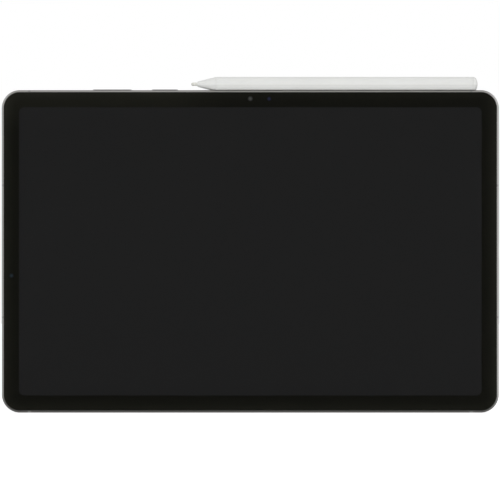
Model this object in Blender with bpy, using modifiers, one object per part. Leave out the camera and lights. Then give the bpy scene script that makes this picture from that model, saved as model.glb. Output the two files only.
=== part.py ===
"""A tablet computer of the 11-inch class, with its stylus docked on the top edge.

Metres, +Z up. The tablet stands upright in landscape: X is its width, Z its height and Y
its thickness, and the screen faces -Y. The origin is at the middle of the bottom edge.
"""

import math

import bmesh
import bpy
from mathutils import Matrix, Vector

MM = 0.001

# The body
WIDTH = 254.0 * MM
HEIGHT = 164.8 * MM
THICKNESS = 6.5 * MM
CORNER_RADIUS = 9.3 * MM
FRONT = -THICKNESS / 2
BACK = THICKNESS / 2
RIGHT = WIDTH / 2
TOP = HEIGHT
MIDDLE = HEIGHT / 2

# The aluminium housing: a tray with a rim round the glass
SIDE_WALL = 2.2 * MM
BACK_WALL = 0.8 * MM
RIM_WIDTH = 1.05 * MM
RIM_DROP = 0.1 * MM
WALL_FLAT = 0.9 * MM
FRONT_FALL = 1.0 * MM
FRONT_TURN = math.radians(75)
REAR_FALL = 1.8 * MM
GLASS_SEAT = 0.95 * MM
FIT = 0.05 * MM
FLOOR = BACK - BACK_WALL
INNER_RIGHT = RIGHT - SIDE_WALL
INNER_TOP = TOP - SIDE_WALL

# The display stack, from the glass backwards
GLASS_THICKNESS = 0.65 * MM
GLASS_GAP = 0.05 * MM
MODULE_WIDTH = 240.0 * MM
MODULE_HEIGHT = 151.0 * MM
PANEL_FRONT = FRONT + 0.75 * MM
PANEL_THICKNESS = 0.8 * MM
BACKLIGHT_THICKNESS = 0.7 * MM
MID_PLATE_FRONT = -0.8 * MM
MID_PLATE_THICKNESS = 0.4 * MM

# Plastic splits in the wall, for the antennas
SPLIT_WIDTH = 1.2 * MM
SPLIT_FROM_MIDDLE = 33.7 * MM
SPLIT_FROM_CENTRE = 112.9 * MM

# Keys on the top edge
KEY_DEPTH = 2.2 * MM
KEY_PROUD = 0.3 * MM
KEY_GAP = 0.2 * MM
VOLUME_X = -70.5 * MM
VOLUME_LENGTH = 19.6 * MM
POWER_X = -43.6 * MM
POWER_LENGTH = 13.2 * MM
FLANGE_TOP = INNER_TOP - 0.4 * MM
FLANGE_THICKNESS = 0.5 * MM
FLANGE_LIP = 0.6 * MM
SWITCH_GAP = 0.4 * MM
DOME_SPACING = 13.0 * MM

# Cameras and sensors
FRONT_CAMERA = Vector((0.0, 0.0, 160.4 * MM))
LIGHT_SENSOR = Vector((9.6 * MM, 0.0, 160.3 * MM))
SIDE_SENSOR = Vector((-122.0 * MM, 0.0, 70.0 * MM))
REAR_CAMERA = Vector((-113.0 * MM, 0.0, 151.0 * MM))
FLASH = Vector((-103.6 * MM, 0.0, 151.0 * MM))
CAMERA_PROUD = 0.4 * MM

# Openings in the short sides
SPEAKER_MIDDLES = (27.0 * MM, HEIGHT - 27.0 * MM)
SPEAKER_HOLES = 6
SPEAKER_PITCH = 2.1 * MM
SPEAKER_HOLE = 0.65 * MM
USB_LENGTH = 8.9 * MM
USB_DEPTH = 3.1 * MM
TRAY_Y = 0.8 * MM
TRAY_Z = 62.0 * MM
TRAY_LENGTH = 15.0 * MM
TRAY_DEPTH = 1.8 * MM
TRAY_REACH = 20.0 * MM

# Boards and battery cells
BOARD_FRONT = 1.0 * MM
BOARD_THICKNESS = 0.6 * MM
BOARD_LEFT = -103.0 * MM
BOARD_RIGHT = -55.0 * MM
BOARD_BOTTOM = 20.0 * MM
BOARD_TOP = 146.0 * MM
SCREW_PLACES = ((-100.0 * MM, 24.0 * MM), (-58.0 * MM, 142.0 * MM))
CELL_WIDTH = 73.0 * MM
CELL_HEIGHT = 120.0 * MM
CELL_LEFTS = (-52.0 * MM, 25.0 * MM)
CELL_BOTTOM = 22.0 * MM

# The stylus, lying along X on the top edge with its tip to the left
STYLUS_RADIUS = 3.7 * MM
STYLUS_FLAT = 3.0 * MM
STYLUS_BORE = 2.3 * MM
STYLUS_TIP = -30.2 * MM
NIB_LENGTH = 3.2 * MM
NIB_RADIUS = 0.85 * MM
CONE_LENGTH = 9.5 * MM
CONE_END_RADIUS = 1.35 * MM
STYLUS_TAIL = 116.2 * MM
CAP_LENGTH = 2.4 * MM
CAP_ROUND = 1.0 * MM
CAP_DOME = 1.2 * MM
DOCK_GAP = 0.05 * MM
STYLUS_Z = TOP + DOCK_GAP + STYLUS_FLAT
CONE_START = STYLUS_TIP + NIB_LENGTH
BARREL_START = CONE_START + CONE_LENGTH
BARREL_END = STYLUS_TAIL - CAP_LENGTH

# Base colour, roughness and metallic value of each finish
FINISHES = {
    "aluminium": ((0.42, 0.41, 0.40), 0.38, 1.0),
    "split": ((0.20, 0.20, 0.20), 0.55, 0.0),
    "glass": ((0.010, 0.010, 0.009), 0.06, 0.0),
    "display": ((0.016, 0.016, 0.016), 0.25, 0.0),
    "adhesive": ((0.03, 0.03, 0.03), 0.7, 0.0),
    "steel": ((0.55, 0.55, 0.55), 0.35, 1.0),
    "lens": ((0.012, 0.014, 0.03), 0.05, 0.0),
    "black_plastic": ((0.02, 0.02, 0.02), 0.5, 0.0),
    "board": ((0.01, 0.06, 0.045), 0.5, 0.0),
    "cell": ((0.05, 0.05, 0.055), 0.45, 0.0),
    "copper": ((0.70, 0.33, 0.17), 0.35, 1.0),
    "white_plastic": ((0.78, 0.78, 0.76), 0.35, 0.0),
}

QUARTER = math.pi / 2
TURN = {"X": (0.0, QUARTER, 0.0), "Y": (-QUARTER, 0.0, 0.0), "Z": (0.0, 0.0, 0.0)}
ROUND_SIDES = 24
SMOOTH_ANGLE = math.radians(35)
MERGE = 0.00001


def clear_scene():
    for old in list(bpy.data.objects):
        bpy.data.objects.remove(old, do_unlink=True)


def new_collection(name):
    collection = bpy.data.collections.new(name)
    bpy.context.scene.collection.children.link(collection)
    return collection


clear_scene()
PARTS = new_collection("tablet_computer")
CUTTERS = new_collection("cutters")


def finish(piece, kind):
    """Gives a piece a material of its own."""
    colour, roughness, metallic = FINISHES[kind]
    material = bpy.data.materials.new(piece.name + "_" + kind)
    material.use_nodes = True
    shader = material.node_tree.nodes["Principled BSDF"]
    shader.inputs["Base Color"].default_value = (*colour, 1.0)
    shader.inputs["Roughness"].default_value = roughness
    shader.inputs["Metallic"].default_value = metallic
    piece.data.materials.append(material)


def make_object(name, form, kind, origin=(0.0, 0.0, 0.0), turn="Z"):
    """Makes a bmesh a part, or a cutter where kind is None. Its points are about origin."""
    mesh = bpy.data.meshes.new(name)
    form.to_mesh(mesh)
    form.free()
    piece = bpy.data.objects.new(name, mesh)
    piece.location = origin
    piece.rotation_euler = TURN[turn]
    if kind is None:
        CUTTERS.objects.link(piece)
        piece.hide_render = True
        piece.display_type = "WIRE"
        return piece
    PARTS.objects.link(piece)
    finish(piece, kind)
    return piece


def smooth(piece):
    piece.data.shade_smooth()
    piece.data.set_sharp_from_angle(angle=SMOOTH_ANGLE)


def add_box(form, low, high, along="Y", radius=0.0, segments=6):
    """Adds a box between two corners, with its four edges along one axis rounded."""
    made = bmesh.ops.create_cube(form, size=1.0)["verts"]
    for vertex in made:
        ends = zip(low, high, vertex.co)
        vertex.co = Vector([a + (b - a) * (c + 0.5) for a, b, c in ends])
    if not radius:
        return
    axis = "XYZ".index(along)
    edges = {edge for vertex in made for edge in vertex.link_edges}
    edges = [e for e in edges if e.verts[0].co[axis] != e.verts[1].co[axis]]
    bmesh.ops.bevel(form, geom=edges, offset=radius, segments=segments, profile=0.5, affect="EDGES")


def box(name, kind, low, high, along="Y", radius=0.0, segments=6, origin=(0.0, 0.0, 0.0)):
    form = bmesh.new()
    start = Vector(origin)
    add_box(form, Vector(low) - start, Vector(high) - start, along, radius, segments)
    return make_object(name, form, kind, origin)


def inset_plate(name, kind, inset, y_front, y_back, segments=8):
    """A rounded plate that follows the body's outline, moved in by inset."""
    low = (-RIGHT + inset, y_front, inset)
    high = (RIGHT - inset, y_back, TOP - inset)
    return box(name, kind, low, high, "Y", CORNER_RADIUS - inset, segments)


def rod(name, kind, middle, radius, start, end, along, sides=ROUND_SIDES):
    """A cylinder along one axis, through middle, from start to end on that axis."""
    form = bmesh.new()
    add_rod(form, middle, radius, start, end, along, sides)
    piece = make_object(name, form, kind)
    smooth(piece)
    return piece


def add_rod(form, middle, radius, start, end, along, sides=ROUND_SIDES):
    place = Vector(middle)
    place["XYZ".index(along)] = (start + end) / 2
    turned_round = {"X": Matrix.Rotation(QUARTER, 4, "Y"), "Y": Matrix.Rotation(QUARTER, 4, "X")}
    matrix = Matrix.Translation(place) @ turned_round.get(along, Matrix.Identity(4))
    bmesh.ops.create_cone(
        form, cap_ends=True, segments=sides, radius1=radius, radius2=radius,
        depth=end - start, matrix=matrix,
    )


def turned(name, kind, profile, origin, along, sides=ROUND_SIDES):
    """Turns (radius, distance) points about an axis. They run down the outer side."""
    form = bmesh.new()
    points = [form.verts.new((radius, 0.0, distance)) for radius, distance in profile]
    for first, second in zip(points, points[1:]):
        form.edges.new((first, second))
    if profile[0][0] > 0.0:
        form.edges.new((points[-1], points[0]))
    piece = make_object(name, form, kind, origin, along)
    screw = piece.modifiers.new("turn", "SCREW")
    screw.axis = "Z"
    screw.angle = 2 * math.pi
    screw.steps = sides
    screw.render_steps = sides
    screw.use_merge_vertices = True
    screw.merge_threshold = MERGE
    screw.use_smooth_shade = True
    return piece


def boolean(piece, other, operation):
    modifier = piece.modifiers.new(operation.lower() + "_" + other.name, "BOOLEAN")
    modifier.operation = operation
    modifier.object = other


def cut(piece, cutter):
    boolean(piece, cutter, "DIFFERENCE")


def join(piece, other):
    boolean(piece, other, "UNION")


def wall_profile(front_steps, rear_steps):
    """How far in the wall's outside lies, and its y: two arcs with a flat band between."""
    depth = -WALL_FLAT - FRONT - RIM_DROP
    reach = depth / math.sin(FRONT_TURN)
    fall = FRONT_FALL / (1 - math.cos(FRONT_TURN))
    for step in range(front_steps, -1, -1):
        angle = FRONT_TURN * step / front_steps
        yield fall * (1 - math.cos(angle)), -WALL_FLAT - reach * math.sin(angle)
    for step in range(rear_steps + 1):
        angle = QUARTER * step / rear_steps
        yield REAR_FALL * (1 - math.cos(angle)), WALL_FLAT + (BACK - WALL_FLAT) * math.sin(angle)


def outline(inset, y, corner_steps):
    """The body's rounded outline, moved in by inset, at one depth."""
    radius = CORNER_RADIUS - inset
    across = RIGHT - CORNER_RADIUS
    up = MIDDLE - CORNER_RADIUS
    for number, (side, level) in enumerate(((1, 1), (-1, 1), (-1, -1), (1, -1))):
        for step in range(corner_steps + 1):
            angle = QUARTER * (number + step / corner_steps)
            x = side * across + radius * math.cos(angle)
            z = MIDDLE + level * up + radius * math.sin(angle)
            yield x, y, z


def outer_form(name, kind=None):
    """The body's outside: a rounded plate whose wall bulges a little all the way round."""
    form = bmesh.new()
    loops = []
    for inset, y in wall_profile(5, 6):
        loops.append([form.verts.new(place) for place in outline(inset, y, 8)])
    for first, second in zip(loops, loops[1:]):
        for number in range(len(first)):
            before = number - 1
            form.faces.new((first[before], first[number], second[number], second[before]))
    form.faces.new(loops[0])
    form.faces.new(loops[-1])
    bmesh.ops.recalc_face_normals(form, faces=form.faces)
    piece = make_object(name, form, kind)
    smooth(piece)
    return piece


def key_hole(name, x, length):
    """The slot in the top wall that a key stands in."""
    half = length / 2 + KEY_GAP
    depth = KEY_DEPTH / 2 + KEY_GAP
    low = (x - half, -depth, INNER_TOP - 1.0 * MM)
    return box(name, None, low, (x + half, depth, TOP + 1.0 * MM), "Z", 0.98 * depth, 5)


def speaker_holes(name, side, middle):
    """A row of round holes through a short wall, as one cutter."""
    form = bmesh.new()
    first = middle - SPEAKER_PITCH * (SPEAKER_HOLES - 1) / 2
    for number in range(SPEAKER_HOLES):
        place = (0.0, 0.0, first + number * SPEAKER_PITCH)
        ends = sorted((side * (INNER_RIGHT - 0.5 * MM), side * (RIGHT + 0.5 * MM)))
        add_rod(form, place, SPEAKER_HOLE, ends[0], ends[1], "X", 10)
    return make_object(name, form, None)


def split_box(name, kind, side, place, upright, width, inner):
    """A slab across the wall, from its inner side out past the body."""
    half = width / 2
    reach = 1.0 * MM
    if upright:
        ends = sorted((side * inner, side * (RIGHT + reach)))
        low = (ends[0], FRONT - reach, place - half)
        high = (ends[1], BACK + reach, place + half)
    else:
        ends = (-reach, SIDE_WALL - inner) if side < 0 else (TOP - SIDE_WALL + inner, TOP + reach)
        low = (place - half, FRONT - reach, ends[0])
        high = (place + half, BACK + reach, ends[1])
    return box(name, kind, low, high)


def split_places():
    """Each split's name, side, place along its wall, and whether that wall is upright."""
    for label, side in (("left", -1), ("right", 1)):
        yield "antenna_split_" + label + "_lower", side, MIDDLE - SPLIT_FROM_MIDDLE, True
        yield "antenna_split_" + label + "_upper", side, MIDDLE + SPLIT_FROM_MIDDLE, True
    for label, side in (("bottom", -1), ("top", 1)):
        yield "antenna_split_" + label + "_left", side, -SPLIT_FROM_CENTRE, False
        yield "antenna_split_" + label + "_right", side, SPLIT_FROM_CENTRE, False


def make_splits(housing, pocket):
    """Cuts a slot in the wall for each plastic split, and makes the split that fills it."""
    outside = outer_form("outside_cutter")
    for name, side, place, upright in split_places():
        wall = INNER_RIGHT if upright else 0.0
        slot_inner = wall - FIT
        slot = split_box(name + "_slot", None, side, place, upright, SPLIT_WIDTH + 2 * FIT, slot_inner)
        cut(housing, slot)
        split = split_box(name, "split", side, place, upright, SPLIT_WIDTH, wall + FIT)
        boolean(split, outside, "INTERSECT")
        cut(split, pocket)


def make_housing():
    """The tray: pocket for the glass, cavity, key holes, ports, and bosses for the screws."""
    housing = outer_form("housing", "aluminium")
    pocket = inset_plate("glass_pocket", None, RIM_WIDTH, FRONT - 1.0 * MM, FRONT + GLASS_SEAT)
    cut(housing, pocket)
    cut(housing, inset_plate("cavity", None, SIDE_WALL, FRONT - 2.0 * MM, FLOOR))
    cut(housing, key_hole("volume_key_hole", VOLUME_X, VOLUME_LENGTH))
    cut(housing, key_hole("power_key_hole", POWER_X, POWER_LENGTH))
    microphone = (-94.0 * MM, 0.3 * MM, 0.0)
    hole_ends = (INNER_TOP - 0.5 * MM, TOP + 0.5 * MM)
    cut(housing, rod("microphone_hole", None, microphone, 0.5 * MM, *hole_ends, "Z", 10))
    for label, side in (("left", -1), ("right", 1)):
        for level, middle in zip(("lower", "upper"), SPEAKER_MIDDLES):
            cut(housing, speaker_holes("speaker_holes_" + label + "_" + level, side, middle))
    usb_low = (INNER_RIGHT - 0.5 * MM, -USB_DEPTH / 2 - FIT, MIDDLE - USB_LENGTH / 2 - FIT)
    usb_high = (RIGHT + 0.5 * MM, USB_DEPTH / 2 + FIT, MIDDLE + USB_LENGTH / 2 + FIT)
    cut(housing, box("usb_hole", None, usb_low, usb_high, "X", USB_DEPTH / 2, 6))
    half = TRAY_LENGTH / 2 + 0.1 * MM
    deep = TRAY_DEPTH / 2 + 0.1 * MM
    tray_low = (INNER_RIGHT - 0.5 * MM, TRAY_Y - deep, TRAY_Z - half)
    tray_high = (RIGHT + 0.5 * MM, TRAY_Y + deep, TRAY_Z + half)
    cut(housing, box("tray_hole", None, tray_low, tray_high, "X", 0.95 * deep, 5))
    through_back = (FLOOR - 0.5 * MM, BACK + 0.5 * MM)
    cut(housing, rod("camera_hole", None, REAR_CAMERA, 5.9 * MM, *through_back, "Y", 32))
    cut(housing, rod("flash_hole", None, FLASH, 2.15 * MM, *through_back, "Y", 20))
    for number, (x, z) in enumerate(SCREW_PLACES, 1):
        boss_front = BOARD_FRONT + BOARD_THICKNESS + FIT
        ends = (boss_front, FLOOR + 0.3 * MM)
        join(housing, rod(f"boss_{number}", None, (x, 0.0, z), 2.0 * MM, *ends, "Y", 16))
        hole = (boss_front - 0.5 * MM, BACK - 0.4 * MM)
        cut(housing, rod(f"boss_hole_{number}", None, (x, 0.0, z), 0.8 * MM, *hole, "Y", 12))
    make_splits(housing, pocket)
    return housing


def make_display():
    """The glass, its adhesive ring, the panel, the backlight and the plate behind them."""
    glass_back = FRONT + GLASS_THICKNESS
    inset_plate("cover_glass", "glass", RIM_WIDTH + GLASS_GAP, FRONT, glass_back)
    ring_ends = (glass_back + FIT, FRONT + GLASS_SEAT - FIT)
    ring = inset_plate("display_adhesive", "adhesive", RIM_WIDTH + 0.2 * MM, *ring_ends)
    cut(ring, inset_plate("adhesive_window", None, SIDE_WALL - 0.1 * MM, FRONT, 0.0))
    half_width = MODULE_WIDTH / 2
    half_height = MODULE_HEIGHT / 2
    panel_back = PANEL_FRONT + PANEL_THICKNESS
    low = (-half_width, PANEL_FRONT, MIDDLE - half_height)
    box("display_panel", "display", low, (half_width, panel_back, MIDDLE + half_height), "Y", 2 * MM, 3)
    light_front = panel_back + 0.1 * MM
    low = (-half_width, light_front, MIDDLE - half_height)
    high = (half_width, light_front + BACKLIGHT_THICKNESS, MIDDLE + half_height)
    box("backlight", "white_plastic", low, high, "Y", 2 * MM, 3)
    low = (1.0 * MM - half_width, MID_PLATE_FRONT, MIDDLE - half_height + 1.0 * MM)
    plate_back = MID_PLATE_FRONT + MID_PLATE_THICKNESS
    high = (half_width - 1.0 * MM, plate_back, MIDDLE + half_height - 1.0 * MM)
    box("mid_plate", "steel", low, high, "Y", 2 * MM, 3)


def make_key(name, x, length, pivot):
    """A key with a flange inside the wall, which keeps it in its slot."""
    half = length / 2
    deep = KEY_DEPTH / 2
    low = (x - half, -deep, FLANGE_TOP - 0.1 * MM)
    key = box(name, "aluminium", low, (x + half, deep, TOP + KEY_PROUD), "Z", 0.98 * deep, 5, pivot)
    lip = FLANGE_LIP
    low = (x - half - lip, -deep - lip, FLANGE_TOP - FLANGE_THICKNESS)
    join(key, box(name + "_flange", None, low, (x + half + lip, deep + lip, FLANGE_TOP)))
    smooth(key)


def make_switches(name, x, length, domes):
    """A strip with the dome switches that a key presses."""
    dome_top = FLANGE_TOP - FLANGE_THICKNESS - SWITCH_GAP
    strip_top = dome_top - 0.3 * MM
    half = length / 2
    low = (x - half, -1.2 * MM, strip_top - 1.0 * MM)
    strip = box(name, "steel", low, (x + half, 1.2 * MM, strip_top))
    for number, offset in enumerate(domes, 1):
        middle = (x + offset, 0.0, 0.0)
        ends = (strip_top - 0.2 * MM, dome_top)
        join(strip, rod(f"{name}_dome_{number}", None, middle, 0.9 * MM, *ends, "Z", 12))


def make_keys():
    pivot_z = FLANGE_TOP - FLANGE_THICKNESS / 2
    make_key("volume_rocker", VOLUME_X, VOLUME_LENGTH, (VOLUME_X, 0.0, pivot_z))
    make_key("power_button", POWER_X, POWER_LENGTH, (POWER_X, 0.0, pivot_z))
    domes = (-DOME_SPACING / 2, DOME_SPACING / 2)
    make_switches("volume_switches", VOLUME_X, VOLUME_LENGTH, domes)
    make_switches("power_switch", POWER_X, POWER_LENGTH, (0.0,))


def make_front_sensors():
    """The front camera and the two light sensors, just behind the glass."""
    front = FRONT + GLASS_THICKNESS + 0.1 * MM
    x, _, z = FRONT_CAMERA
    low = (x - 2.2 * MM, front + 0.4 * MM, z - 1.8 * MM)
    camera = box("front_camera", "black_plastic", low, (x + 2.2 * MM, 0.5 * MM, z + 1.8 * MM))
    barrel = (front, front + 0.6 * MM)
    join(camera, rod("front_camera_barrel", None, FRONT_CAMERA, 1.5 * MM, *barrel, "Y", 20))
    for name, place in (("light_sensor", LIGHT_SENSOR), ("side_sensor", SIDE_SENSOR)):
        low = place + Vector((-0.9 * MM, front, -1.2 * MM))
        high = place + Vector((0.9 * MM, front + 0.8 * MM, 1.2 * MM))
        box(name, "lens", low, high)


def make_rear_camera():
    """The module, the lens that focuses by sliding in it, the ring and the window."""
    x, _, z = REAR_CAMERA
    half = 5.5 * MM
    module_back = 2.2 * MM
    low = (x - half, -0.2 * MM, z - half)
    high = (x + half, module_back, z + half)
    module = box("rear_camera_module", "black_plastic", low, high, "Y", 1 * MM, 3)
    cut(module, rod("focus_bore", None, REAR_CAMERA, 3.5 * MM, 0.3 * MM, module_back + 1.0 * MM, "Y"))
    lens_front = 0.6 * MM
    lens_back = 2.4 * MM
    lens = (
        (0.0, lens_back - 0.3 * MM),
        (1.8 * MM, lens_back - 0.2 * MM),
        (2.4 * MM, lens_back),
        (3.2 * MM, lens_back),
        (3.2 * MM, lens_front),
        (0.0, lens_front),
    )
    turned("rear_camera_lens", "black_plastic", lens, (x, 0.0, z), "Y")
    neck_front = FLOOR + FIT
    flange_front = BACK + FIT
    ring_back = BACK + CAMERA_PROUD
    shelf = ring_back - 0.65 * MM
    ring = (
        (5.1 * MM, ring_back),
        (6.3 * MM, ring_back),
        (6.6 * MM, ring_back - 0.2 * MM),
        (6.6 * MM, flange_front),
        (5.7 * MM, flange_front),
        (5.7 * MM, neck_front),
        (4.0 * MM, neck_front),
        (4.0 * MM, shelf),
        (5.1 * MM, shelf),
    )
    turned("rear_camera_ring", "aluminium", ring, (x, 0.0, z), "Y", 32)
    window = (shelf + FIT, ring_back - FIT)
    rod("rear_camera_window", "glass", REAR_CAMERA, 5.0 * MM, *window, "Y", 32)
    rod("flash_lens", "white_plastic", FLASH, 2.05 * MM, FLOOR + FIT, BACK - FIT, "Y", 20)


def make_speakers():
    """A speaker box in each corner, with a dust mesh behind its holes."""
    for label, side in (("left", -1), ("right", 1)):
        for level, middle in zip(("lower", "upper"), SPEAKER_MIDDLES):
            name = "speaker_" + label + "_" + level
            far = 22.7 * MM if middle < MIDDLE else 6.7 * MM
            near = 29.4 * MM - far
            ends = sorted((side * 106.0 * MM, side * 123.8 * MM))
            low = (ends[0], -0.2 * MM, middle - near)
            box(name, "black_plastic", low, (ends[1], 2.3 * MM, middle + far), "Y", 1.5 * MM, 3)
            half = SPEAKER_PITCH * SPEAKER_HOLES / 2 + 0.8 * MM
            ends = sorted((side * 124.2 * MM, side * (INNER_RIGHT - 0.1 * MM)))
            low = (ends[0], -1.3 * MM, middle - half)
            box(name + "_mesh", "steel", low, (ends[1], 1.3 * MM, middle + half), "X", 0.8 * MM, 3)


def make_usb_port():
    """A steel shell in the right wall, and the tongue that carries the contacts."""
    depth = 6.5 * MM
    wall = 0.3 * MM
    face = RIGHT - 0.15 * MM
    length, height = USB_LENGTH / 2, USB_DEPTH / 2
    low = (face - depth, -height, MIDDLE - length)
    shell = box("usb_port_shell", "steel", low, (face, height, MIDDLE + length), "X", 0.98 * height)
    low = (face - depth + wall, wall - height, MIDDLE - length + wall)
    high = (face + 1.0 * MM, height - wall, MIDDLE + length - wall)
    cut(shell, box("usb_port_inside", None, low, high, "X", 0.98 * (height - wall)))
    smooth(shell)
    low = (face - depth + wall + FIT, -0.35 * MM, MIDDLE - 3.3 * MM)
    box("usb_port_tongue", "black_plastic", low, (face - 0.6 * MM, 0.35 * MM, MIDDLE + 3.3 * MM))


def make_card_tray():
    """A tray that slides out of the right wall, and the cage that it slides in."""
    half = TRAY_LENGTH / 2
    deep = TRAY_DEPTH / 2
    start = Vector((RIGHT, TRAY_Y, TRAY_Z))
    low = (RIGHT - 1.6 * MM, TRAY_Y - deep, TRAY_Z - half)
    high = (RIGHT, TRAY_Y + deep, TRAY_Z + half)
    tray = box("card_tray", "aluminium", low, high, "X", 0.95 * deep, 5, start)
    low = (RIGHT - TRAY_REACH, TRAY_Y - 0.4 * MM, TRAY_Z - half + 1.0 * MM)
    high = (RIGHT - 1.4 * MM, TRAY_Y + 0.4 * MM, TRAY_Z + half - 1.0 * MM)
    join(tray, box("tray_plate", None, low, high))
    low = (RIGHT - TRAY_REACH + 1.5 * MM, TRAY_Y - 0.2 * MM, TRAY_Z - 5.6 * MM)
    high = (RIGHT - 3.2 * MM, TRAY_Y + 1.0 * MM, TRAY_Z + 5.6 * MM)
    cut(tray, box("card_pocket", None, low, high))
    boolean(tray, outer_form("tray_face_form"), "INTERSECT")
    pin = (0.0, TRAY_Y, TRAY_Z + half - 1.8 * MM)
    cut(tray, rod("pin_hole", None, pin, 0.4 * MM, RIGHT - 1.2 * MM, RIGHT + 0.5 * MM, "X", 10))
    smooth(tray)
    wall = 0.3 * MM
    low = (RIGHT - TRAY_REACH - 1.2 * MM, -0.2 * MM, TRAY_Z - half)
    high = (INNER_RIGHT - 0.3 * MM, 1.9 * MM, TRAY_Z + half)
    cage = box("card_socket", "steel", low, high)
    low = (low[0] + wall, low[1] + wall, low[2] + wall)
    high = (high[0] + 1.0 * MM, high[1] - wall, high[2] - wall)
    cut(cage, box("card_socket_inside", None, low, high))


def make_boards():
    """The main board with its shield, the port board, the link between them and the screws."""
    back = BOARD_FRONT + BOARD_THICKNESS
    board = box(
        "main_board", "board", (BOARD_LEFT, BOARD_FRONT, BOARD_BOTTOM), (BOARD_RIGHT, back, BOARD_TOP),
    )
    for number, (x, z) in enumerate(SCREW_PLACES, 1):
        ends = (BOARD_FRONT - 0.5 * MM, back + 0.5 * MM)
        cut(board, rod(f"board_hole_{number}", None, (x, 0.0, z), 0.8 * MM, *ends, "Y", 12))
        head_back = BOARD_FRONT - FIT
        screw = (
            (0.0, BACK - 0.6 * MM),
            (0.6 * MM, BACK - 0.6 * MM),
            (0.6 * MM, head_back),
            (1.4 * MM, head_back),
            (1.4 * MM, head_back - 0.4 * MM),
            (0.0, head_back - 0.4 * MM),
        )
        turned(f"board_screw_{number}", "steel", screw, (x, 0.0, z), "Y", 16)
    low = (BOARD_LEFT + 6.0 * MM, -0.2 * MM, 92.0 * MM)
    high = (BOARD_RIGHT - 6.0 * MM, BOARD_FRONT - FIT, 138.0 * MM)
    box("processor_shield", "steel", low, high, "Y", 1.0 * MM, 3)
    low = (101.0 * MM, 0.6 * MM, 74.0 * MM)
    box("port_board", "board", low, (119.5 * MM, 1.2 * MM, 110.0 * MM))
    low = (-60.0 * MM, -0.3 * MM, 78.0 * MM)
    box("board_link", "copper", low, (106.0 * MM, -0.2 * MM, 90.0 * MM))


def make_battery():
    for label, left in zip(("left", "right"), CELL_LEFTS):
        low = (left, -0.1 * MM, CELL_BOTTOM)
        high = (left + CELL_WIDTH, 2.1 * MM, CELL_BOTTOM + CELL_HEIGHT)
        box("battery_cell_" + label, "cell", low, high, "Z", 0.6 * MM, 3)


def make_dock():
    """What holds and charges the stylus from inside the top wall, and the microphone."""
    low_z = 158.2 * MM
    high_z = INNER_TOP - 0.2 * MM
    deep = 1.5 * MM
    box("dock_magnet", "steel", (14 * MM, -deep, low_z), (34 * MM, deep, high_z))
    box("dock_coil", "copper", (40 * MM, -deep, low_z), (62 * MM, deep, high_z), "Z", 1.2 * MM, 4)
    low = (-96.0 * MM, -0.7 * MM, 160.4 * MM)
    box("microphone", "steel", low, (-92.0 * MM, 1.3 * MM, INNER_TOP - 0.1 * MM))


def make_stylus():
    """A hollow barrel with a flat side, its tip and cap, and what it holds."""
    axis = Vector((0.0, 0.0, STYLUS_Z))
    reach = 1.0 * MM
    low = (BARREL_START - 20 * MM, -2 * STYLUS_RADIUS, STYLUS_Z - 2 * STYLUS_RADIUS)
    high = (STYLUS_TAIL + reach, 2 * STYLUS_RADIUS, STYLUS_Z - STYLUS_FLAT)
    flat = box("stylus_flat", None, low, high)
    barrel = (
        (STYLUS_RADIUS, BARREL_END),
        (STYLUS_RADIUS, BARREL_START),
        (STYLUS_BORE, BARREL_START),
        (STYLUS_BORE, BARREL_END),
    )
    cut(turned("stylus_barrel", "white_plastic", barrel, axis, "X", 32), flat)
    bore = NIB_RADIUS + 0.15 * MM
    spigot = STYLUS_BORE - 0.1 * MM
    cone = (
        (STYLUS_RADIUS, BARREL_START - FIT),
        (CONE_END_RADIUS, CONE_START + FIT),
        (bore, CONE_START + FIT),
        (bore, BARREL_START + 1.0 * MM),
        (spigot, BARREL_START + 1.0 * MM),
        (spigot, BARREL_START - FIT),
    )
    cut(turned("stylus_cone", "white_plastic", cone, axis, "X", 32), flat)
    start = Vector((STYLUS_TIP, 0.0, STYLUS_Z))
    steps = 5
    angles = [QUARTER * (1 - step / steps) for step in range(steps + 1)]
    tip = [(NIB_RADIUS * math.sin(a), NIB_RADIUS * (1 - math.cos(a))) for a in angles]
    nib_end = NIB_LENGTH + 7.0 * MM
    nib = [(0.0, nib_end), (NIB_RADIUS, nib_end), *tip]
    turned("stylus_nib", "white_plastic", nib, start, "X", 16)
    cap_low = BARREL_END + FIT
    corner = STYLUS_RADIUS - CAP_ROUND
    rings = [(corner * step / steps, 0.0) for step in range(1, steps)]
    angles = [QUARTER * step / steps for step in range(steps + 1)]
    rings += [(corner + CAP_ROUND * math.sin(a), CAP_ROUND * (1 - math.cos(a))) for a in angles]
    dome = [
        (radius, STYLUS_TAIL - fall - CAP_DOME * (radius / STYLUS_RADIUS) ** 2)
        for radius, fall in rings
    ]
    plug = BARREL_END - 3.0 * MM
    inner_end = [(STYLUS_RADIUS, cap_low), (spigot, cap_low), (spigot, plug), (0.0, plug)]
    cap = [(0.0, STYLUS_TAIL), *dome, *inner_end]
    cut(turned("stylus_cap", "white_plastic", cap, axis, "X", 32), flat)
    make_stylus_inside(axis)


def make_stylus_inside(axis):
    inside = 1.9 * MM
    sensor = (BARREL_START + 1.6 * MM, BARREL_START + 8.0 * MM)
    rod("nib_sensor", "steel", axis, inside, *sensor, "X", 16)
    low = (sensor[1] + 1.5 * MM, -1.8 * MM, STYLUS_Z - 0.4 * MM)
    box("stylus_board", "board", low, (30.0 * MM, 1.8 * MM, STYLUS_Z + 0.4 * MM))
    rod("stylus_coil", "copper", axis, inside, 40.0 * MM, 62.0 * MM, "X", 16)
    rod("stylus_battery", "cell", axis, inside, 66.0 * MM, 94.0 * MM, "X", 16)
    rod("stylus_magnet", "steel", axis, inside, 96.0 * MM, 108.0 * MM, "X", 16)


make_housing()
make_display()
make_keys()
make_front_sensors()
make_rear_camera()
make_speakers()
make_usb_port()
make_card_tray()
make_boards()
make_battery()
make_dock()
make_stylus()
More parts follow.
